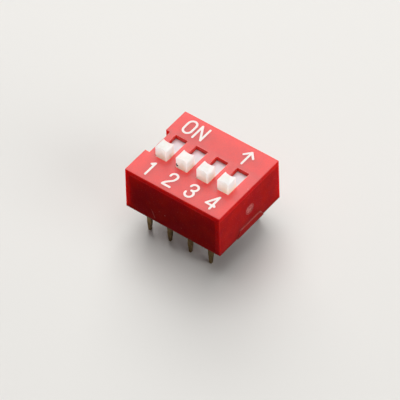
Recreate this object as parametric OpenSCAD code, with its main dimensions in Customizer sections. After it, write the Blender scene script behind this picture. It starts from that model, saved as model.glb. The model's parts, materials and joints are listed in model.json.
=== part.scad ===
// Four-position slide switch for a circuit board, in a dual in-line package.
// Millimetres. The origin is the middle of the footprint, on the plane of the board's top.
// X runs along the positions, from 1 to 4. Y runs towards the ON side. Z is up.
// The model is drawn with every slider at OFF.

/* [Package] */
// Distance between neighbouring positions
pitch = 2.54; // [2.45:0.01:2.8]
// Distance between the two rows of terminals, middle to middle
row_spacing = 7.62; // [7.3:0.01:8]
// Distance from the middle of the first or last position to the end face
end_margin = 2.03; // [1.9:0.01:2.5]
// Distance from the middle of each row to the cover's front or back face, at its foot
row_margin = 1.13; // [1:0.01:1.6]
// Height of the cover above the board
cover_height = 5.25; // [5.05:0.05:6.5]

/* [Cover] */
// Thickness of the cover's front and back walls
wall = 0.75; // [0.6:0.05:0.8]
// Thickness of the cover's top
top_wall = 0.56; // [0.4:0.02:0.7]
// Thickness of the ribs between the positions
rib = 0.4; // [0.3:0.02:0.5]
// How far each outer wall leans in between its foot and the top
draft = 0.04; // [0.01:0.01:0.1]
// Radius of the cover's outer edges
cover_edge = 0.06; // [0.03:0.01:0.25]
// Radius of the corners of the windows in the top
window_corner = 0.06; // [0.02:0.01:0.2]
// Depth of the notch that marks the end of position 1
notch_depth = 0.6; // [0.2:0.05:0.65]
// Width of that notch, along Y
notch_width = 3.4; // [2:0.1:5]
// How far the notch's middle lies towards the ON side
notch_shift = 0.05; // [0:0.05:0.6]
// Diameter of the gate mark on the other end
gate_diameter = 1.25; // [0.6:0.05:1.8]
// Depth of the gate mark
gate_depth = 0.03; // [0.02:0.01:0.15]
// Height of the gate mark's middle above the board
gate_height = 2.55; // [2:0.05:3.5]
// Diameter of the vestige of the gate inside its mark
gate_stub = 0.45; // [0.2:0.05:0.55]

/* [Base] */
// Height of the base, from the board to the contact pads
base_height = 2.1; // [1.7:0.05:2.4]
// Gap around the base, in the cover
base_gap = 0.02; // [0.01:0.01:0.06]
// Width of the base's end tabs at their top
tab_width = 3.3; // [2.5:0.1:4.5]
// Height of the end tabs
tab_height = 0.86; // [0.5:0.02:1.4]
// How much wider the end tabs are at their foot, on each side
tab_flare = 0.5; // [0.1:0.05:0.6]
// How far the tab stands proud of the end face
tab_proud = 0.08; // [0:0.01:0.12]
// Width of the wells around the pins on the underside, along X
well_width = 1.1; // [0.75:0.05:1.5]
// Depth of those wells
well_depth = 0.4; // [0.2:0.05:0.8]
// Gap between a pin and its well, towards the middle of the base
well_gap = 0.25; // [0.1:0.05:0.5]
// Diameter of the ejector marks on the underside
ejector_diameter = 1.5; // [0.8:0.1:2.2]
// Depth of the ejector marks
ejector_depth = 0.05; // [0.02:0.01:0.15]

/* [Sliders] */
// How far a slider moves between OFF and ON
travel = 2.0; // [1.7:0.05:2.1]
// Width of the knob, along X
knob_width = 1.38; // [1.1:0.02:1.6]
// Length of the knob, along Y
knob_length = 1.45; // [1.2:0.05:1.6]
// Height of the knob above the cover's top
knob_rise = 1.25; // [0.3:0.05:1.6]
// Radius of the knob's edges
knob_edge = 0.16; // [0.05:0.01:0.3]
// Depth of the finger hollows in the knob's front and back
knob_hollow = 0.17; // [0.02:0.01:0.2]
// Radius of the rim where a hollow meets the knob's top
hollow_rim = 0.06; // [0.02:0.01:0.15]
// Gap between the knob and each side of its window
knob_gap = 0.06; // [0.02:0.005:0.1]
// Gap between the knob and the end of its window at OFF and at ON
stop_gap = 0.025; // [0.01:0.005:0.05]
// Thickness of the plate that closes the window from below
plate_thickness = 0.75; // [0.4:0.05:1]
// Gap between the plate and the cover's top, ribs and walls
plate_gap = 0.05; // [0.02:0.01:0.1]
// Thickness of the two skirts beside the moving contact
skirt = 0.25; // [0.15:0.01:0.3]
// Length of the skirts, along Y
skirt_length = 4.1; // [3.9:0.1:5]
// Gap between the skirts and the base
skirt_gap = 0.1; // [0.05:0.01:0.15]
// Diameter of the stake that holds the moving contact
stake_diameter = 0.5; // [0.3:0.05:0.7]
// Diameter of the stake's head
stake_head = 0.8; // [0.75:0.05:1]
// Height of the stake's head
stake_head_height = 0.12; // [0.06:0.01:0.2]

/* [Moving contacts] */
// Thickness of the contact's sheet
leaf = 0.12; // [0.08:0.01:0.16]
// Width of the contact
contact_width = 1.2; // [1:0.05:1.3]
// Gap between the contact and each skirt
contact_gap = 0.05; // [0.02:0.01:0.08]
// Length of the flat middle that is staked to the slider
flat_length = 1.4; // [1.2:0.05:1.6]
// Distance between the two feet
foot_spacing = 3.2; // [2.9:0.05:3.3]
// Outer radius of each foot
foot_radius = 0.33; // [0.25:0.01:0.4]
// Height of the contact, from the pads to the top of its flat middle
contact_rise = 0.85; // [0.75:0.01:1]
// Gap between a foot and its pad
foot_gap = 0.02; // [0.01:0.005:0.03]
// Width of the slit that parts each foot in two
slit = 0.2; // [0.1:0.02:0.4]
// Gap around the stake, in the contact's hole
stake_gap = 0.02; // [0.01:0.005:0.04]

/* [Terminals] */
// Thickness of the terminals' sheet
sheet = 0.3; // [0.2:0.01:0.34]
// Width of a pin
pin_width = 0.5; // [0.4:0.02:0.65]
// Length of a pin below the board's top
pin_length = 3.2; // [2.6:0.1:4]
// Length of the taper at a pin's end
tip_length = 1.1; // [0.6:0.1:1.6]
// Width of a pin's end
tip_width = 0.24; // [0.12:0.02:0.36]
// Width of a terminal inside the base, and of its pad
pad_width = 1.1; // [0.8:0.05:1.3]
// Inner radius of the bend between the pin and the pad
bend_radius = 0.15; // [0.1:0.01:0.3]
// How far the front pad reaches past the foot that stays on it
pad_margin = 0.25; // [0.1:0.05:0.4]
// Gap between the back foot at OFF and the back pad
break_gap = 0.55; // [0.3:0.05:0.8]

/* [Hidden] */

$fn = 48;
hull_fn = 32;
hollow_fn = 96;
over = 1; // how far a cut runs past the face that it opens
skin = 0.01; // height of the discs at the foot of the cover's outline
positions = 4;

// Cover and base
cover_length = (positions - 1) * pitch + 2 * end_margin;
cover_depth = row_spacing + 2 * row_margin;
channel_width = pitch - rib;
channel_length = cover_depth - 2 * wall;
cavity_length = (positions - 1) * pitch + channel_width;
end_wall = (cover_length - cavity_length) / 2;
window_width = knob_width + 2 * knob_gap;
window_length = knob_length + travel + 2 * stop_gap;
base_length = cavity_length - 2 * base_gap;
base_depth = channel_length - 2 * base_gap;

// Sliders
plate_top = cover_height - top_wall - plate_gap;
plate_width = channel_width - 2 * plate_gap;
plate_length = channel_length - travel - 2 * plate_gap;
knob_top = cover_height + knob_rise;
pocket_width = contact_width + 2 * contact_gap;
pocket_top = base_height + foot_gap + contact_rise;
skirt_foot = base_height + skirt_gap;
off_y = -travel / 2;
hollow_radius = (pow(knob_width / 2, 2) + pow(knob_hollow, 2)) / (2 * knob_hollow);

// Moving contacts: the arm leaves the flat's end and runs tangent into the foot's arc
foot_arc = foot_radius - leaf / 2;
foot_centre = [foot_spacing / 2, base_height + foot_gap + foot_radius];
arm_start = [flat_length / 2, pocket_top - leaf / 2];
arm_span = foot_centre - arm_start;
arm_slope = asin(foot_arc / norm(arm_span)) - atan2(arm_span[1], arm_span[0]);
arm_length = sqrt(pow(norm(arm_span), 2) - pow(foot_arc, 2));
toe_angle = 55; // how far the toe turns up past the lowest point of the foot

// Terminals
front_pad_end = -foot_spacing / 2 + travel / 2 + pad_margin;
back_pad_end = foot_spacing / 2 - travel / 2 + break_gap;
bend_outer = bend_radius + sheet;

function position_x(i) = (i - (positions + 1) / 2) * pitch;

// A rectangle about the origin, with its corners rounded
module rounded_rectangle(length, width, radius) {
    square([length - 2 * radius, width], center = true);
    square([length, width - 2 * radius], center = true);
    for (x = [-1, 1], y = [-1, 1])
        translate([x * (length / 2 - radius), y * (width / 2 - radius)]) circle(radius);
}

// A bar that stands on the X axis, with its two upper corners rounded
module rounded_bar(width, height, radius) {
    translate([-width / 2, 0]) square([width, height - radius]);
    translate([radius - width / 2, 0]) square([width - 2 * radius, height]);
    for (x = [-1, 1]) translate([x * (width / 2 - radius), height - radius]) circle(radius);
}

// Turns a shape drawn in X and Y, so that it stands in X and Z and is extruded along Y
module upright_x(depth) {
    rotate([90, 0, 0]) linear_extrude(depth, center = true) children();
}

// The same, standing in Y and Z and extruded along X
module upright_y(depth) {
    rotate([90, 0, 90]) linear_extrude(depth, center = true) children();
}

// ---- Cover ----

// The outside of the cover: walls that lean in and rounded edges, but a sharp foot
module cover_block() {
    hull()
        for (x = [-1, 1], y = [-1, 1]) {
            translate([x * (cover_length / 2 - cover_edge), y * (cover_depth / 2 - cover_edge), 0])
                cylinder(h = skin, r = cover_edge, $fn = hull_fn);
            translate([x * (cover_length / 2 - draft - cover_edge),
                       y * (cover_depth / 2 - draft - cover_edge), cover_height - cover_edge])
                sphere(r = cover_edge, $fn = hull_fn);
        }
}

// The outline of an end tab, grown by a gap for the opening that it fills
module tab_outline(gap) {
    top = tab_width / 2 + gap;
    foot = top + tab_flare;
    polygon([[-foot, 0], [foot, 0], [top, tab_height + gap], [-top, tab_height + gap]]);
}

// The slider's channels, over the room for the base
module cover_cavity() {
    translate([-cavity_length / 2, -channel_length / 2, -over])
        cube([cavity_length, channel_length, base_height + over]);
    for (i = [1:positions])
        translate([position_x(i) - channel_width / 2, -channel_length / 2, base_height - over])
            cube([channel_width, channel_length, cover_height - top_wall - base_height + over]);
}

module windows() {
    for (i = [1:positions])
        translate([position_x(i), 0, cover_height - top_wall - over])
            linear_extrude(top_wall + 2 * over)
                rounded_rectangle(window_width, window_length, window_corner);
}

module end_notch() {
    translate([-cover_length / 2 - over, notch_shift - notch_width / 2, -over])
        cube([notch_depth + over, notch_width, cover_height + 2 * over]);
}

module gate_mark() {
    translate([cover_length / 2 - draft / 2 - gate_depth, 0, gate_height]) rotate([0, 90, 0])
        difference() {
            cylinder(h = gate_depth + over, d = gate_diameter);
            translate([0, 0, -over]) cylinder(h = gate_depth + over, d = gate_stub);
        }
}

module cover() {
    color([0.80, 0.13, 0.12])
        difference() {
            cover_block();
            cover_cavity();
            windows();
            end_notch();
            gate_mark();
            upright_y(cover_length + 2 * over) tab_outline(base_gap);
        }
}

// ---- Base ----

module wells() {
    for (i = [1:positions], side = [-1, 1])
        translate([position_x(i) - well_width / 2, side > 0 ? inner_well() : -base_depth / 2 - over, -over])
            cube([well_width, base_depth / 2 + over - inner_well(), well_depth + over]);
}

// Where a well begins, as a distance from the middle of the base
function inner_well() = row_spacing / 2 - sheet / 2 - well_gap;

module ejector_marks() {
    for (side = [-1, 1])
        translate([side * pitch, 0, -over]) cylinder(h = ejector_depth + over, d = ejector_diameter);
}

module base() {
    right_tab = cover_length / 2 + tab_proud;
    left_tab = cover_length / 2 - notch_depth;
    color([0.66, 0.09, 0.09])
        difference() {
            union() {
                translate([-base_length / 2, -base_depth / 2, 0])
                    cube([base_length, base_depth, base_height]);
                translate([(right_tab - left_tab) / 2, 0, 0])
                    upright_y(right_tab + left_tab) tab_outline(0);
            }
            wells();
            ejector_marks();
            for (i = [1:positions]) {
                terminal_shape(i, 1, over);
                terminal_shape(i, -1, over);
            }
        }
}

// ---- Sliders ----

// What a finger hollow takes away: a round bar as high as the knob, flared at its upper end
// so that the hollow's rim comes out rounded
module hollow_cutter(height) {
    rim = [hollow_radius + hollow_rim, height - hollow_rim];
    rotate_extrude($fn = hollow_fn) {
        square([hollow_radius, height + over]);
        difference() {
            translate([hollow_radius - skin, rim[1]]) square([hollow_rim + skin, hollow_rim + over]);
            translate(rim) circle(hollow_rim);
        }
    }
}

// The part of a slider that shows: its four sides and its top are rounded into each other
module knob() {
    height = knob_top - plate_top + over;
    translate([0, 0, plate_top - over])
        difference() {
            intersection() {
                linear_extrude(height) rounded_rectangle(knob_width, knob_length, knob_edge);
                upright_x(knob_length) rounded_bar(knob_width, height, knob_edge);
                upright_y(knob_width) rounded_bar(knob_length, height, knob_edge);
            }
            for (side = [-1, 1])
                translate([0, side * (knob_length / 2 - knob_hollow + hollow_radius), -over])
                    hollow_cutter(height + over);
        }
}

// The stake goes through the contact's hole, and its head is melted over the sheet
module stake() {
    translate([0, 0, pocket_top - leaf]) cylinder(h = leaf, d = stake_diameter);
    translate([0, 0, pocket_top - leaf - stake_head_height])
        cylinder(h = stake_head_height, d = stake_head);
}

module slider(i) {
    skirt_top = plate_top - plate_thickness;
    color([0.95, 0.94, 0.91])
        translate([position_x(i), off_y, 0]) {
            knob();
            translate([-plate_width / 2, -plate_length / 2, skirt_top])
                cube([plate_width, plate_length, plate_thickness]);
            translate([-pocket_width / 2 - skirt, -skirt_length / 2, pocket_top])
                cube([pocket_width + 2 * skirt, skirt_length, skirt_top - pocket_top]);
            for (side = [-1, 1])
                translate([side * (pocket_width + skirt) / 2 - skirt / 2, -skirt_length / 2, skirt_foot])
                    cube([skirt, skirt_length, pocket_top - skirt_foot]);
            stake();
        }
}

// ---- Moving contacts ----

// One arm and foot of the contact, as its sheet is seen from the side
module arm_profile() {
    translate(arm_start) rotate(-arm_slope) {
        translate([0, -leaf / 2]) square([arm_length, leaf]);
        circle(leaf / 2);
    }
    translate(foot_centre)
        intersection() {
            difference() {
                circle(foot_radius);
                circle(foot_radius - leaf);
            }
            polygon([[0, 0], 2 * foot_radius * [cos(-90 - arm_slope), sin(-90 - arm_slope)],
                2 * foot_radius * [cos(-90), sin(-90)],
                2 * foot_radius * [cos(-90 + toe_angle), sin(-90 + toe_angle)]]);
        }
}

module moving_contact(i) {
    color([0.83, 0.68, 0.35])
        translate([position_x(i), off_y, 0])
            difference() {
                upright_y(contact_width) {
                    translate([-flat_length / 2, pocket_top - leaf]) square([flat_length, leaf]);
                    arm_profile();
                    mirror([1, 0]) arm_profile();
                }
                translate([0, 0, pocket_top - leaf - over])
                    cylinder(h = leaf + 2 * over, d = stake_diameter + 2 * stake_gap);
                for (side = [-1, 1])
                    translate([-slit / 2, side > 0 ? flat_length / 2 : -foot_spacing, base_height])
                        cube([slit, foot_spacing - flat_length / 2, contact_rise + over]);
            }
}

// ---- Terminals ----

// A terminal from the side: the pad, the bend and the leg, for the row at the back.
// above is how far the pad runs on past the base's top, where it is cut out of the base.
module terminal_profile(pad_end, above) {
    leg = row_spacing / 2 + sheet / 2;
    bend = [leg - bend_outer, base_height - bend_outer];
    translate([pad_end, base_height - sheet]) square([bend[0] - pad_end, sheet + above]);
    translate([leg - sheet, -pin_length]) square([sheet, bend[1] + pin_length]);
    intersection() {
        translate(bend) difference() {
            circle(bend_outer);
            circle(bend_radius);
        }
        translate(bend) square(bend_outer);
    }
}

// A terminal from the front: wide inside the base, with a narrow tapered pin
module terminal_front() {
    pad = pad_width / 2;
    pin = pin_width / 2;
    tip = tip_width / 2;
    taper = tip_length - pin_length;
    polygon([[-pad, base_height + over], [pad, base_height + over], [pad, well_depth], [pin, well_depth],
        [pin, taper], [tip, -pin_length], [-tip, -pin_length], [-pin, taper], [-pin, well_depth],
        [-pad, well_depth]]);
}

// side is 1 for the back row and -1 for the front row
module terminal_shape(i, side, above = 0) {
    pad_end = side > 0 ? back_pad_end : -front_pad_end;
    translate([position_x(i), 0, 0])
        intersection() {
            mirror([0, side > 0 ? 0 : 1, 0]) upright_y(pad_width) terminal_profile(pad_end, above);
            upright_x(cover_depth) terminal_front();
        }
}

module terminal(i, side) {
    color([0.72, 0.58, 0.30]) terminal_shape(i, side);
}

cover();
base();
for (i = [1:positions]) {
    slider(i);
    moving_contact(i);
    terminal(i, -1);
    terminal(i, 1);
}
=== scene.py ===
import json
import math

import bmesh
import bpy
from mathutils import Matrix, Vector


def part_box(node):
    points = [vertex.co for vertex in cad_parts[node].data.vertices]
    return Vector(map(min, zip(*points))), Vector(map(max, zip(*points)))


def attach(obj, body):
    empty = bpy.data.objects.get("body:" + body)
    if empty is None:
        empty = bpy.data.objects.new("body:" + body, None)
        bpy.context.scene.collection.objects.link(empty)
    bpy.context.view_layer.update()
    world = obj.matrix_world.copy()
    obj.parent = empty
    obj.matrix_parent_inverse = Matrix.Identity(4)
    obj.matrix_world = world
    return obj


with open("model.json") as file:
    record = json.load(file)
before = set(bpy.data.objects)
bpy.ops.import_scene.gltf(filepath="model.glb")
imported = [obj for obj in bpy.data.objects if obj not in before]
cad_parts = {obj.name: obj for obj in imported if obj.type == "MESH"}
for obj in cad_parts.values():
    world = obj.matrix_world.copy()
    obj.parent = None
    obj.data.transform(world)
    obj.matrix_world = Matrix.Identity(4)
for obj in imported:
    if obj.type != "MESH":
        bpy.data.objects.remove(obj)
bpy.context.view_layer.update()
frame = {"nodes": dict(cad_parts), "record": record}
nodes = frame["nodes"]
subparts = frame["record"]["subparts"]
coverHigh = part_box("cover")[1]
mm = 0.001
print("frame loaded:", len(nodes), "nodes")


class Wire:
    # a node's socket that can stand in a sum
    def __init__(self, maker, socket):
        self.maker = maker
        self.socket = socket

    def calc(self, operation, first, second=0.0):
        return self.maker.node("ShaderNodeMath", {"operation": operation}, {0: first, 1: second})

    def __add__(self, other):
        return self.calc("ADD", self, other)

    def __radd__(self, other):
        return self.calc("ADD", other, self)

    def __sub__(self, other):
        return self.calc("SUBTRACT", self, other)

    def __rsub__(self, other):
        return self.calc("SUBTRACT", other, self)

    def __mul__(self, other):
        return self.calc("MULTIPLY", self, other)

    def __rmul__(self, other):
        return self.calc("MULTIPLY", other, self)

    def atMost(self, other):
        return self.calc("MINIMUM", self, other)

    def atLeast(self, other):
        return self.calc("MAXIMUM", self, other)

    def size(self):
        return self.calc("ABSOLUTE", self)

    def spread(self, low, high):
        # 0 becomes low and 1 becomes high
        return self * (high - low) + low


class Maker:
    # builds the nodes of one material, or of the world
    def __init__(self, name="", holder=None):
        self.holder = holder or bpy.data.materials.new(name)
        self.holder.use_nodes = True
        self.tree = self.holder.node_tree
        self.tree.nodes.clear()

    def node(self, kind, settings=None, inputs=None, output=0):
        made = self.tree.nodes.new(kind)
        for key, value in (settings or {}).items():
            setattr(made, key, value)
        for key, value in (inputs or {}).items():
            if isinstance(value, Wire):
                self.tree.links.new(value.socket, made.inputs[key])
            else:
                made.inputs[key].default_value = value
        return Wire(self, made.outputs[output]) if made.outputs else None

    def vector(self, operation, inputs, output="Vector"):
        return self.node("ShaderNodeVectorMath", {"operation": operation}, inputs, output)

    def place(self):
        return self.node("ShaderNodeTexCoord", output="Object")

    def axes(self):
        parts = self.node("ShaderNodeSeparateXYZ", {}, {0: self.place()}).socket.node.outputs
        return [Wire(self, part) for part in parts]

    def noise(self, grain, detail=2.0, roughness=0.5, stretch=(1, 1, 1)):
        # grain is the size of one blotch in metres
        spot = self.node("ShaderNodeMapping", {}, {"Vector": self.place(), "Scale": stretch})
        return self.node("ShaderNodeTexNoise", {"noise_dimensions": "3D"}, {
            "Vector": spot, "Scale": 1 / grain, "Detail": detail, "Roughness": roughness})

    def step(self, value, low, high):
        # 0 below low, 1 above high, smooth between
        return self.node("ShaderNodeMapRange", {"interpolation_type": "SMOOTHSTEP", "clamp": True}, {
            "Value": value, "From Min": low, "From Max": high, "To Min": 0.0, "To Max": 1.0})

    def mix(self, factor, first, second):
        # the node's sockets 6 and 7 are its two colours, and 2 is the mixed one
        return self.node("ShaderNodeMix", {"data_type": "RGBA"}, {0: factor, 6: first, 7: second}, output=2)

    def dim(self, colour, share):
        # the same colour, brighter or darker
        return self.vector("SCALE", {0: colour, "Scale": share})

    def mark(self, spot, ragged=0.0):
        # 1 inside a ball on the surface, 0 outside
        centre, radius, soft, strength = spot
        far = self.vector("DISTANCE", {0: self.place(), 1: [part * mm for part in centre]}, "Value")
        return (1 - self.step(far + ragged, (radius - soft) * mm, (radius + soft) * mm)) * strength

    def line(self, streak):
        # 1 close to a straight line on the surface, 0 away from it
        start, end, half, soft, strength = streak
        begin, finish = Vector(start) * mm, Vector(end) * mm
        along = finish - begin
        offset = self.vector("SUBTRACT", {0: self.place(), 1: begin})
        share = self.vector("DOT_PRODUCT", {0: offset, 1: along / along.length_squared}, "Value")
        nearest = self.vector("SCALE", {0: along, "Scale": share.atLeast(0.0).atMost(1.0)})
        far = self.vector("DISTANCE", {0: offset, 1: nearest}, "Value")
        return (1 - self.step(far, half * mm, (half + soft) * mm)) * strength

    def rims(self, reach, bends):
        # 0 on a flat face, 1 along its edges
        rounded = self.node("ShaderNodeBevel", {"samples": 6}, {"Radius": reach})
        flat = self.node("ShaderNodeNewGeometry", output="True Normal")
        return self.step(1 - self.vector("DOT_PRODUCT", {0: rounded, 1: flat}, "Value"), *bends)

    def bump(self, height, strength, distance):
        return self.node("ShaderNodeBump", {}, {"Height": height, "Strength": strength, "Distance": distance})

    def path(self, *kinds):
        # 1 for the kinds of ray that are named
        total = 0.0
        for kind in kinds:
            total = total + self.node("ShaderNodeLightPath", output=kind)
        return total.atMost(1.0)

    def finish(self, shader):
        self.node("ShaderNodeOutputMaterial", {}, {"Surface": shader})
        return self.holder


def rgb(red, green, blue):
    # screen values from 0 to 255, as linear light
    light = [((v / 255 + 0.055) / 1.055) ** 2.4 if v > 10 else v / 255 / 12.92 for v in (red, green, blue)]
    return (*light, 1.0)


# in these dictionaries, a pair is where a change begins and where it is complete, or its least and most
coverFinish = {
    "bright": rgb(246, 48, 43),
    "deep": rgb(222, 40, 49),
    "clouds": (0.38, 0.62),              # from bright to deep
    "calmOnTop": 0.6,                    # how much weaker the clouds are on top
    "topEdge": (-0.09 * mm, -0.03 * mm),
    "shell": (0.45 * mm, 0.65 * mm),     # in from a body edge, where air begins behind the wall
    "endNarrowing": 3.0,                 # the solid band beside an end face's upright edges is narrower by this
    "hollow": (0.55, 1.05),              # painted shade: how much of its red a wall keeps with air behind it
    "lid": (4.62 * mm, 4.74 * mm),       # heights where the top wall begins
    # painted light: the walls inside the windows are a brighter red
    "paintedLightInWindows": rgb(255, 62, 57),
    "paintedShadeBetweenWindows": 0.20,                     # painted shade: how much darker the top is between the windows
    "polished": 0.12,                    # and how much sheen fingers gave it there
    "betweenWindowsReach": (1.7 * mm, 2.5 * mm),
    # the worn colour on the rims is edge wear and a painted highlight along the edges
    "worn": rgb(242, 158, 148),
    "wearAndHighlightGrain": 0.5 * mm,
    "wearAndHighlightPatches": (0.35, 0.7),
    "rimReach": 0.07 * mm,
    "rimBends": (0.04, 0.30),            # how far the surface turns there
    "rimWearAndHighlight": (0.5, 0.9),
    "speck": rgb(246, 124, 114),
    "footLineWidth": (0.04 * mm, 0.09 * mm),
    "footLineHeight": (0.05 * mm, 0.12 * mm),
    "footLineTone": (0.2, 0.8),
    "dustGrain": 0.15 * mm,
    "dustSpots": (0.60, 0.76),
    "dustTone": 0.26,
    "pale": rgb(255, 138, 134),
    # marks: centre on the surface in millimetres, radius, softness and strength
    "gate": ((5.82, 0.0, 2.53), 0.54, 0.06, 0.95),
    "tornGrain": 0.35 * mm,
    "tornEdge": 0.9 * mm,
    "tornPatches": (0.38, 0.56),
    "tornTone": (0.35, 1.0),
    "tornRoughness": 0.3,
    "tornDepth": 4.0,                    # in depths of the grain
    "chips": [
        ((-0.94, -4.93, 1.56), 0.07, 0.03, 0.9),
        ((-1.62, -4.93, 1.74), 0.07, 0.05, 0.35),
        ((1.10, -4.93, 1.05), 0.07, 0.05, 0.3),
        ((5.63, 0.03, 5.25), 0.05, 0.03, 0.5),
    ],
    # scratches, and the last two a painted highlight along the tab's top edge and slanted side: both ends on
    # the surface in millimetres, half width, softness and strength
    "scratchesAndHighlights": [
        ((-2.22, -4.94, 0.45), (-2.50, -4.93, 1.18), 0.03, 0.05, 0.7),
        ((-2.50, -4.93, 1.18), (-2.66, -4.93, 1.45), 0.02, 0.04, 0.4),
        ((5.92, 1.60, 0.78), (5.92, 2.06, 0.44), 0.04, 0.05, 1.0),
        ((5.90, -1.60, 0.86), (5.90, 1.50, 0.88), 0.04, 0.09, 0.5),
    ],
    "streakTone": (0.6, 1.0),
    "roughness": (0.40, 0.52),
    "sheenOnTop": 0.74,                  # the print needs a smooth face, so the top is glossier than the sides
    "sheenOnRims": 0.35,
    "sheenInWindows": 0.25,
    "sheenGrain": (0.75, 1.25),
    "sheenRoughness": 0.38,
    "grain": 0.09 * mm,
    "grainDepth": 0.004 * mm,
    "grainStrength": 0.5,
    "mottle": 0.16 * mm,
    "blotch": 1.4 * mm,
    "through": (1.0, 0.12, 0.08),        # light goes further into the plastic in red
    "throughDepth": 2.6 * mm,
}
baseFinish = {**coverFinish, "rimWearAndHighlight": (0.25, 0.45)}    # the cover shields the base's rims from wear, and they take less painted highlight


def redPlastic(name, shade):
    maker = Maker(name)
    blotch = maker.noise(shade["blotch"], detail=3.0)
    grain = maker.noise(shade["grain"], roughness=0.6)
    mottle = maker.noise(shade["mottle"], roughness=0.6)
    rim = maker.rims(shade["rimReach"], shade["rimBends"])
    across, along, height = maker.axes()
    onTop = maker.step(height - coverHigh[2], *shade["topEdge"])
    onSides = 1 - onTop
    clouds = maker.step(blotch * 0.5 + mottle * 0.5, *shade["clouds"]) * (1 - onTop * shade["calmOnTop"])
    colour = maker.mix(clouds, shade["bright"], shade["deep"])
    # on a face of the body, the middle one of these three is the distance from the nearest edge
    toEnd = coverHigh[0] - across.size()
    toSide = (coverHigh[1] - along.size()) * shade["endNarrowing"]
    toTop = coverHigh[2] - height
    toEdge = toEnd.atMost(toSide).atLeast(toEnd.atLeast(toSide).atMost(toTop))
    inner = maker.step(toEdge, *shade["shell"]) * onSides
    inLid = maker.step(height, *shade["lid"])
    # painted shade: the walls darken away from the body's edges, by a mottled amount
    colour = maker.mix(inner * (1 - inLid), colour, maker.dim(colour, mottle.spread(*shade["hollow"])))
    # painted light: the window walls take the brighter red
    colour = maker.mix(inner * inLid, colour, shade["paintedLightInWindows"])
    # painted shade on the top between the windows
    paintedShadeBetweenWindows = onTop * (1 - maker.step(along.size(), *shade["betweenWindowsReach"]))
    colour = maker.dim(colour, 1 - paintedShadeBetweenWindows * shade["paintedShadeBetweenWindows"])
    # a pale line along the foot of the walls
    wall = 1 - maker.step(toEnd.atMost(toSide), *shade["footLineWidth"])
    footLine = wall * (1 - maker.step(height, *shade["footLineHeight"]))
    colour = maker.mix(footLine * mottle.spread(*shade["footLineTone"]), colour, shade["speck"])
    wearAndHighlight = maker.step(maker.noise(shade["wearAndHighlightGrain"], detail=3.0, roughness=0.6), *shade["wearAndHighlightPatches"])
    # edge wear and a painted highlight along the rims
    colour = maker.mix(rim * wearAndHighlight.spread(*shade["rimWearAndHighlight"]), colour, shade["worn"])
    dust = maker.step(maker.noise(shade["dustGrain"], detail=1.5), *shade["dustSpots"]) * onSides
    colour = maker.mix(dust * shade["dustTone"], colour, shade["speck"])
    # the gate was torn off in a ragged patch
    torn = maker.noise(shade["tornGrain"], detail=3.0, roughness=0.65)
    gate = maker.mark(shade["gate"], (torn - 0.5) * shade["tornEdge"])
    patches = maker.step(torn, *shade["tornPatches"]).spread(*shade["tornTone"])
    colour = maker.mix(gate * patches, colour, shade["pale"])
    for chip in shade["chips"]:
        colour = maker.mix(maker.mark(chip), colour, shade["pale"])
    # scratches on the front, and painted highlight lines along the tab
    for streak in shade["scratchesAndHighlights"]:
        colour = maker.mix(maker.line(streak) * wearAndHighlight.spread(*shade["streakTone"]), colour, shade["pale"])
    topSheen = onTop * grain.spread(*shade["sheenGrain"]) * (paintedShadeBetweenWindows * shade["polished"] + shade["sheenOnTop"])
    sheen = topSheen + rim * shade["sheenOnRims"] + inner * inLid * shade["sheenInWindows"]
    relief = grain + gate * torn * shade["tornDepth"]
    shader = maker.node("ShaderNodeBsdfPrincipled", {"subsurface_method": "RANDOM_WALK"}, {
        "Base Color": colour,
        "Roughness": (blotch.spread(*shade["roughness"]) + gate * shade["tornRoughness"]).atMost(1.0),
        "IOR": 1.5,
        "Specular IOR Level": 0.0,       # only the coat shines
        "Coat Weight": sheen.atMost(1.0),
        "Coat Roughness": shade["sheenRoughness"],
        "Subsurface Weight": 1.0,
        "Subsurface Radius": shade["through"],
        "Subsurface Scale": shade["throughDepth"],
        "Normal": maker.bump(relief, shade["grainStrength"], shade["grainDepth"]),
    })
    return maker.finish(shader)


sliderFinish = {
    "clean": rgb(213, 221, 219),
    "worn": rgb(206, 213, 206),
    "wornPatches": (0.4, 0.75),
    "foot": rgb(238, 214, 192),          # grease gathers where the knob leaves its window, with painted red light from the cover there
    "footHeight": (5.2 * mm, 6.1 * mm),
    "footTone": 0.7,
    "footDirt": 0.08,
    "dirt": rgb(150, 112, 84),
    "dirtGrain": 0.12 * mm,
    "dirtSpots": (0.74, 0.80),
    "dirtTone": 0.35,
    "plate": rgb(211, 216, 223),         # down in the window
    "plateWorn": (0.3, 0.8),
    "plateTone": 0.5,
    "paintedLightAtPlateEnd": rgb(233, 238, 245),      # painted light: the plate brightens towards its back, by the window's back wall
    "paintedLightAtPlateEndReach": (0.2 * mm, 1.8 * mm),
    "knobFoot": (4.8 * mm, 5.1 * mm),    # heights where the plate gives way to the knob
    "cornerShadow": rgb(52, 22, 16),
    # painted shadow in the gaps at the knobs' front corners: centre in millimetres, radius, softness and
    # strength
    "cornerShadowSpots": [
        ((-1.88, -1.73, 5.61), 0.13, 0.03, 1.0),
        ((-1.76, -1.71, 5.44), 0.13, 0.03, 1.0),
        ((-4.42, -1.72, 5.30), 0.09, 0.04, 0.7),
        ((3.16, -1.72, 5.36), 0.08, 0.04, 0.6),
    ],
    "roughness": (0.28, 0.44),
    "specular": 0.12,
    "grain": 0.11 * mm,
    "grainDepth": 0.004 * mm,
    "grainStrength": 0.4,
    "blotch": 0.7 * mm,
    "through": (1.0, 0.90, 0.80),
    "throughDepth": 3.0 * mm,
}


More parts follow.
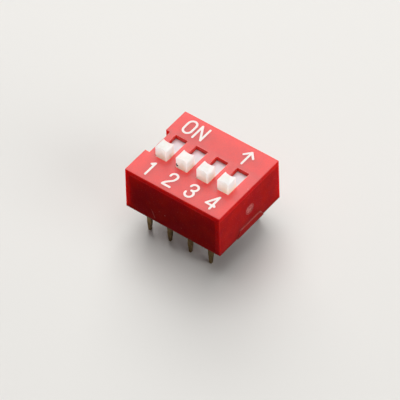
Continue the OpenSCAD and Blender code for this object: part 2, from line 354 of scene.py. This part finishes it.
def whitePlastic(name, shade):
    # the plate in the window is plain, and the knob lets light through
    maker = Maker(name)
    blotch = maker.noise(shade["blotch"], detail=3.0)
    grain = maker.noise(shade["grain"], roughness=0.6)
    along, height = maker.axes()[1:]
    foot = 1 - maker.step(height, *shade["footHeight"])
    specks = maker.step(maker.noise(shade["dirtGrain"], detail=1.0), *shade["dirtSpots"])
    dirt = specks * shade["dirtTone"] + foot * blotch * shade["footDirt"]
    colour = maker.mix(maker.step(blotch, *shade["wornPatches"]), shade["clean"], shade["worn"])
    # grease and painted red light at the knob's foot
    colour = maker.mix(foot * shade["footTone"], colour, shade["foot"])
    colour = maker.mix(dirt, colour, shade["dirt"])
    # painted shadow at the knobs' front corners
    cornerShadow = maker.mark(shade["cornerShadowSpots"][0])
    for spot in shade["cornerShadowSpots"][1:]:
        cornerShadow = cornerShadow.atLeast(maker.mark(spot))
    wornPlate = maker.step(blotch, *shade["plateWorn"]) * shade["plateTone"]
    plain = maker.mix(wornPlate, shade["plate"], shade["worn"])
    # painted light towards the plate's back
    plain = maker.mix(maker.step(along, *shade["paintedLightAtPlateEndReach"]), plain, shade["paintedLightAtPlateEnd"])
    skin = {
        "Roughness": blotch.spread(*shade["roughness"]),
        "IOR": 1.48,
        "Specular IOR Level": shade["specular"],
        "Normal": maker.bump(grain, shade["grainStrength"], shade["grainDepth"]),
    }
    plate = maker.node("ShaderNodeBsdfPrincipled", {}, {
        "Base Color": maker.mix(cornerShadow, plain, shade["cornerShadow"]),
        **skin,
    })
    knob = maker.node("ShaderNodeBsdfPrincipled", {"subsurface_method": "RANDOM_WALK"}, {
        "Base Color": colour,
        "Subsurface Weight": 1.0,
        "Subsurface Radius": shade["through"],
        "Subsurface Scale": shade["throughDepth"],
        **skin,
    })
    onKnob = maker.step(height, *shade["knobFoot"]) * (1 - cornerShadow)
    return maker.finish(maker.node("ShaderNodeMixShader", {}, {0: onKnob, 1: plate, 2: knob}))


terminalFinish = {
    "bright": rgb(124, 101, 64),
    "dull": rgb(86, 69, 45),
    "tarnish": 0.5 * mm,
    "tarnishPatches": (0.35, 0.7),
    "roughness": (0.31, 0.61),
    "drawn": 0.05 * mm,                  # fine lines along the pin
    "drawnStretch": (1, 1, 0.12),
    "drawnRoughness": 0.1,
    "drawnDepth": 0.004 * mm,
    "drawnStrength": 0.4,
}


def giltSheet(name, shade):
    maker = Maker(name)
    tarnish = maker.noise(shade["tarnish"], detail=4.0, roughness=0.6)
    drawn = maker.noise(shade["drawn"], roughness=0.6, stretch=shade["drawnStretch"])
    shader = maker.node("ShaderNodeBsdfPrincipled", {}, {
        "Base Color": maker.mix(maker.step(tarnish, *shade["tarnishPatches"]), shade["bright"], shade["dull"]),
        "Metallic": 1.0,
        "Roughness": tarnish.spread(*shade["roughness"]) + drawn * shade["drawnRoughness"],
        "Normal": maker.bump(drawn, shade["drawnStrength"], shade["drawnDepth"]),
    })
    return maker.finish(shader)


inkFinish = {
    "clean": rgb(243, 227, 225),
    "thin": rgb(238, 202, 198),
    "thinPatches": (0.55, 0.8),
    "roughness": (0.40, 0.60),
    "specular": 0.2,
    "grain": 0.12 * mm,
    "grainDepth": 0.005 * mm,
    "grainStrength": 0.4,
}


def printInk(name, shade):
    maker = Maker(name)
    grain = maker.noise(shade["grain"], detail=3.0, roughness=0.6)
    shader = maker.node("ShaderNodeBsdfPrincipled", {}, {
        "Base Color": maker.mix(maker.step(grain, *shade["thinPatches"]), shade["clean"], shade["thin"]),
        "Roughness": grain.spread(*shade["roughness"]),
        "Specular IOR Level": shade["specular"],
        "Normal": maker.bump(grain, shade["grainStrength"], shade["grainDepth"]),
    })
    return maker.finish(shader)


finishes = {
    "cover": redPlastic("coverRed", coverFinish),
    "base": redPlastic("baseRed", baseFinish),
    "slider": whitePlastic("sliderWhite", sliderFinish),
    "contact": giltSheet("contactGilt", terminalFinish),
    "terminal": giltSheet("terminalGilt", terminalFinish),
    "ink": printInk("printInk", inkFinish),
}
for part in subparts:
    for held in nodes[part["node"]].material_slots:
        held.material = finishes[part["material_slot"]]
print("finishes made:", len(finishes))


legend = {
    "thickness": 0.012 * mm,
    "stroke": 0.238 * mm,
    "top": coverHigh[2],
    "sides": 14,
}


def arc(centre, radii, start, end, steps):
    # points along part of an ellipse, angles in degrees
    points = []
    for i in range(steps + 1):
        turn = math.radians(start + (end - start) * i / steps)
        points.append((centre[0] + radii[0] * math.cos(turn), centre[1] + radii[1] * math.sin(turn)))
    return points


def shown(data, name):
    # an object in the scene for a mesh, lamp or camera
    piece = bpy.data.objects.new(name, data)
    bpy.context.scene.collection.objects.link(piece)
    return piece


def settled(shape, name):
    # a mesh from a finished bmesh
    mesh = bpy.data.meshes.new(name)
    shape.to_mesh(mesh)
    shape.free()
    return mesh


def stroke(points, name):
    # a line of ink with round ends: one bar for each stretch, joined up afterwards
    radius, thickness = legend["stroke"] / 2, legend["thickness"]
    bars = []
    for ends in zip(points, points[1:]):
        shape = bmesh.new()
        for x, y in ends:
            spot = Matrix.Translation((x * mm, y * mm, legend["top"] + thickness / 2))
            bmesh.ops.create_cone(shape, cap_ends=True, segments=legend["sides"], radius1=radius,
                                  radius2=radius, depth=thickness, matrix=spot)
        discs = list(shape.faces)
        hull = bmesh.ops.convex_hull(shape, input=shape.verts)
        inside = [part for part in hull["geom_interior"] if isinstance(part, bmesh.types.BMVert)]
        bmesh.ops.delete(shape, geom=inside, context="VERTS")
        spare = [face for face in discs if face.is_valid and face not in hull["geom"]]
        bmesh.ops.delete(shape, geom=spare, context="FACES")
        bmesh.ops.recalc_face_normals(shape, faces=shape.faces)
        bars.append(shown(settled(shape, name), name))
    return bars


def joined(bars, name):
    # one solid from bars that overlap
    others = bpy.data.collections.new(name + "Bars")
    for bar in bars[1:]:
        bpy.context.scene.collection.objects.unlink(bar)
        others.objects.link(bar)
    bpy.context.scene.collection.children.link(others)
    union = bars[0].modifiers.new("union", "BOOLEAN")
    union.operation = "UNION"
    union.solver = "EXACT"
    union.operand_type = "COLLECTION"
    union.collection = others
    bpy.context.view_layer.update()
    solved = bars[0].evaluated_get(bpy.context.evaluated_depsgraph_get())
    mesh = bpy.data.meshes.new_from_object(solved)
    mesh.name = name
    for bar in bars:
        bpy.data.objects.remove(bar)
    bpy.data.collections.remove(others)
    return shown(mesh, name)


# pen strokes in millimetres, seen from above
glyphs = {
    "letterO": [
        arc((-4.05, 3.75), (0.48, 0.53), 0, 180, 16) + arc((-4.05, 3.03), (0.48, 0.53), 180, 360, 16)
        + [(-3.57, 3.75)],
    ],
    "letterN": [[(-3.05, 2.44), (-3.05, 4.21), (-2.13, 2.52), (-2.13, 4.21)]],
    "arrowOn": [[(3.05, 2.42), (3.05, 4.20)], [(2.47, 3.55), (3.05, 4.20), (3.63, 3.55)]],
    "digit1": [[(-4.07, -2.80), (-3.76, -2.54), (-3.76, -4.26)], [(-4.05, -2.80), (-3.78, -2.82)]],
    "digit2": [
        arc((-1.185, -2.93), (0.39, 0.40), 190, -20, 14)
        + [(-0.88, -3.28), (-1.02, -3.49), (-1.25, -3.71), (-1.46, -3.91), (-1.62, -4.12), (-1.65, -4.28)]
        + [(-0.73, -4.28)],
    ],
    "digit3": [
        arc((1.34, -2.95), (0.42, 0.41), 178, -70, 14) + [(1.28, -3.38)]
        + arc((1.34, -3.83), (0.44, 0.46), 70, -185, 16),
    ],
    "digit4": [[(4.15, -4.27), (4.13, -2.51), (3.38, -3.80), (4.42, -3.82), (4.17, -3.62)]],
}
for name, strokes in glyphs.items():
    piece = joined([bar for points in strokes for bar in stroke(points, name)], name)
    piece.data.materials.clear()
    piece.data.materials.append(finishes["ink"])
    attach(piece, "housing")
print("print laid:", ", ".join(glyphs))


stage = {
    "level": -3.2 * mm,                  # the pins stand on it
    "reach": 1.5,
    "seen": rgb(226, 225, 223),
    "lit": (0.12, 0.12, 0.12, 1.0),      # what the floor gives back to the part
    "ambient": 0.08,
    "backdrop": 0.80,
    "boxTint": (1.0, 0.99, 0.97),
    "boxDistance": 0.60,
}
seenRays = ("Is Camera Ray", "Is Glossy Ray", "Is Transmission Ray")


def paleFloor():
    shape = bmesh.new()
    bmesh.ops.create_grid(shape, x_segments=1, y_segments=1, size=stage["reach"],
                          matrix=Matrix.Translation((0, 0, stage["level"])))
    floor = shown(settled(shape, "floor"), "floor")
    maker = Maker("paleFloor")
    colour = maker.mix(maker.path(*seenRays), stage["lit"], stage["seen"])
    floor.data.materials.append(maker.finish(maker.node("ShaderNodeBsdfDiffuse", {}, {"Color": colour})))


def ambientLight():
    world = bpy.data.worlds.new("studio")
    bpy.context.scene.world = world
    maker = Maker(holder=world)
    strength = maker.path(*seenRays).spread(stage["ambient"], stage["backdrop"])
    background = maker.node("ShaderNodeBackground", {}, {"Strength": strength})
    maker.node("ShaderNodeOutputWorld", {}, {"Surface": background})


# from is a direction seen from the part, size is in metres, and glow is the brightness of the box's face
# the knobs let light through, so lowBox throws no shadow of them, and knobFill lights knobs alone
softBoxes = {
    "overBox": {"from": (-0.15, 0.15, 0.98), "size": 0.60, "glow": 2.25},
    "backBox": {"from": (-0.42, 0.56, 0.70), "size": 0.42, "glow": 2.9},
    "lowBox": {"from": (-0.66, 0.72, 0.22), "size": 0.45, "glow": 3.2, "knobs": "no shadow"},
    "rightBox": {"from": (0.92, 0.05, 0.38), "size": 0.40, "glow": 2.75},
    "knobFill": {"from": (0.60, -0.80, -0.03), "size": 0.40, "glow": 7.2, "knobs": "only",
                 "tint": (0.93, 1.0, 0.96)},
}


def knobGroup(name, state):
    # the sliders as a group for one lamp's light or shadow
    group = bpy.data.collections.new(name)
    for part in subparts:
        if part["material_slot"] == "slider":
            group.objects.link(nodes[part["node"]])
    for held in group.collection_objects:
        held.light_linking.link_state = state
    return group


def softBox(name, box):
    lamp = bpy.data.lights.new(name, "AREA")
    lamp.shape = "SQUARE"
    lamp.size = box["size"]
    lamp.energy = box["glow"] * math.pi * box["size"] ** 2
    lamp.color = box.get("tint", stage["boxTint"])
    light = shown(lamp, name)
    away = Vector(box["from"]).normalized()
    light.location = away * stage["boxDistance"]
    light.rotation_euler = away.to_track_quat("Z", "Y").to_euler()
    knobs = box.get("knobs")
    if knobs == "no shadow":
        light.light_linking.blocker_collection = knobGroup(name + "Blockers", "EXCLUDE")
    if knobs == "only":
        lamp.cycles.max_bounces = 1
        light.light_linking.receiver_collection = knobGroup(name + "Receivers", "INCLUDE")
        light.light_linking.blocker_collection = knobGroup(name + "Blockers", "INCLUDE")


viewpoint = {
    "azimuth": 38.67,
    "elevation": 46.93,
    "roll": -1.93,
    "far": 374.4 * mm,
    "aside": (-0.307 * mm, 0.108 * mm),
    "lens": 339.2,
    "sensor": 36.0,
    "clipStart": 0.01,
}


def standCamera():
    azimuth, elevation, roll = (math.radians(viewpoint[key]) for key in ("azimuth", "elevation", "roll"))
    back = Vector((math.sin(azimuth) * math.cos(elevation), -math.cos(azimuth) * math.cos(elevation),
                   math.sin(elevation)))
    flat = (-back).cross(Vector((0, 0, 1))).normalized()
    rise = flat.cross(-back)
    right = math.cos(roll) * flat + math.sin(roll) * rise
    up = math.cos(roll) * rise - math.sin(roll) * flat
    eye = bpy.data.cameras.new("camera")
    eye.lens = viewpoint["lens"]
    eye.sensor_width = viewpoint["sensor"]
    eye.clip_start = viewpoint["clipStart"]
    camera = shown(eye, "camera")
    turn = Matrix((right, up, back)).transposed().to_4x4()
    spot = right * viewpoint["aside"][0] + up * viewpoint["aside"][1] + back * viewpoint["far"]
    camera.matrix_world = Matrix.Translation(spot) @ turn
    bpy.context.scene.camera = camera


paleFloor()
ambientLight()
for name, box in softBoxes.items():
    softBox(name, box)
standCamera()
bpy.context.scene.view_settings.view_transform = "Standard"
print("stage set")
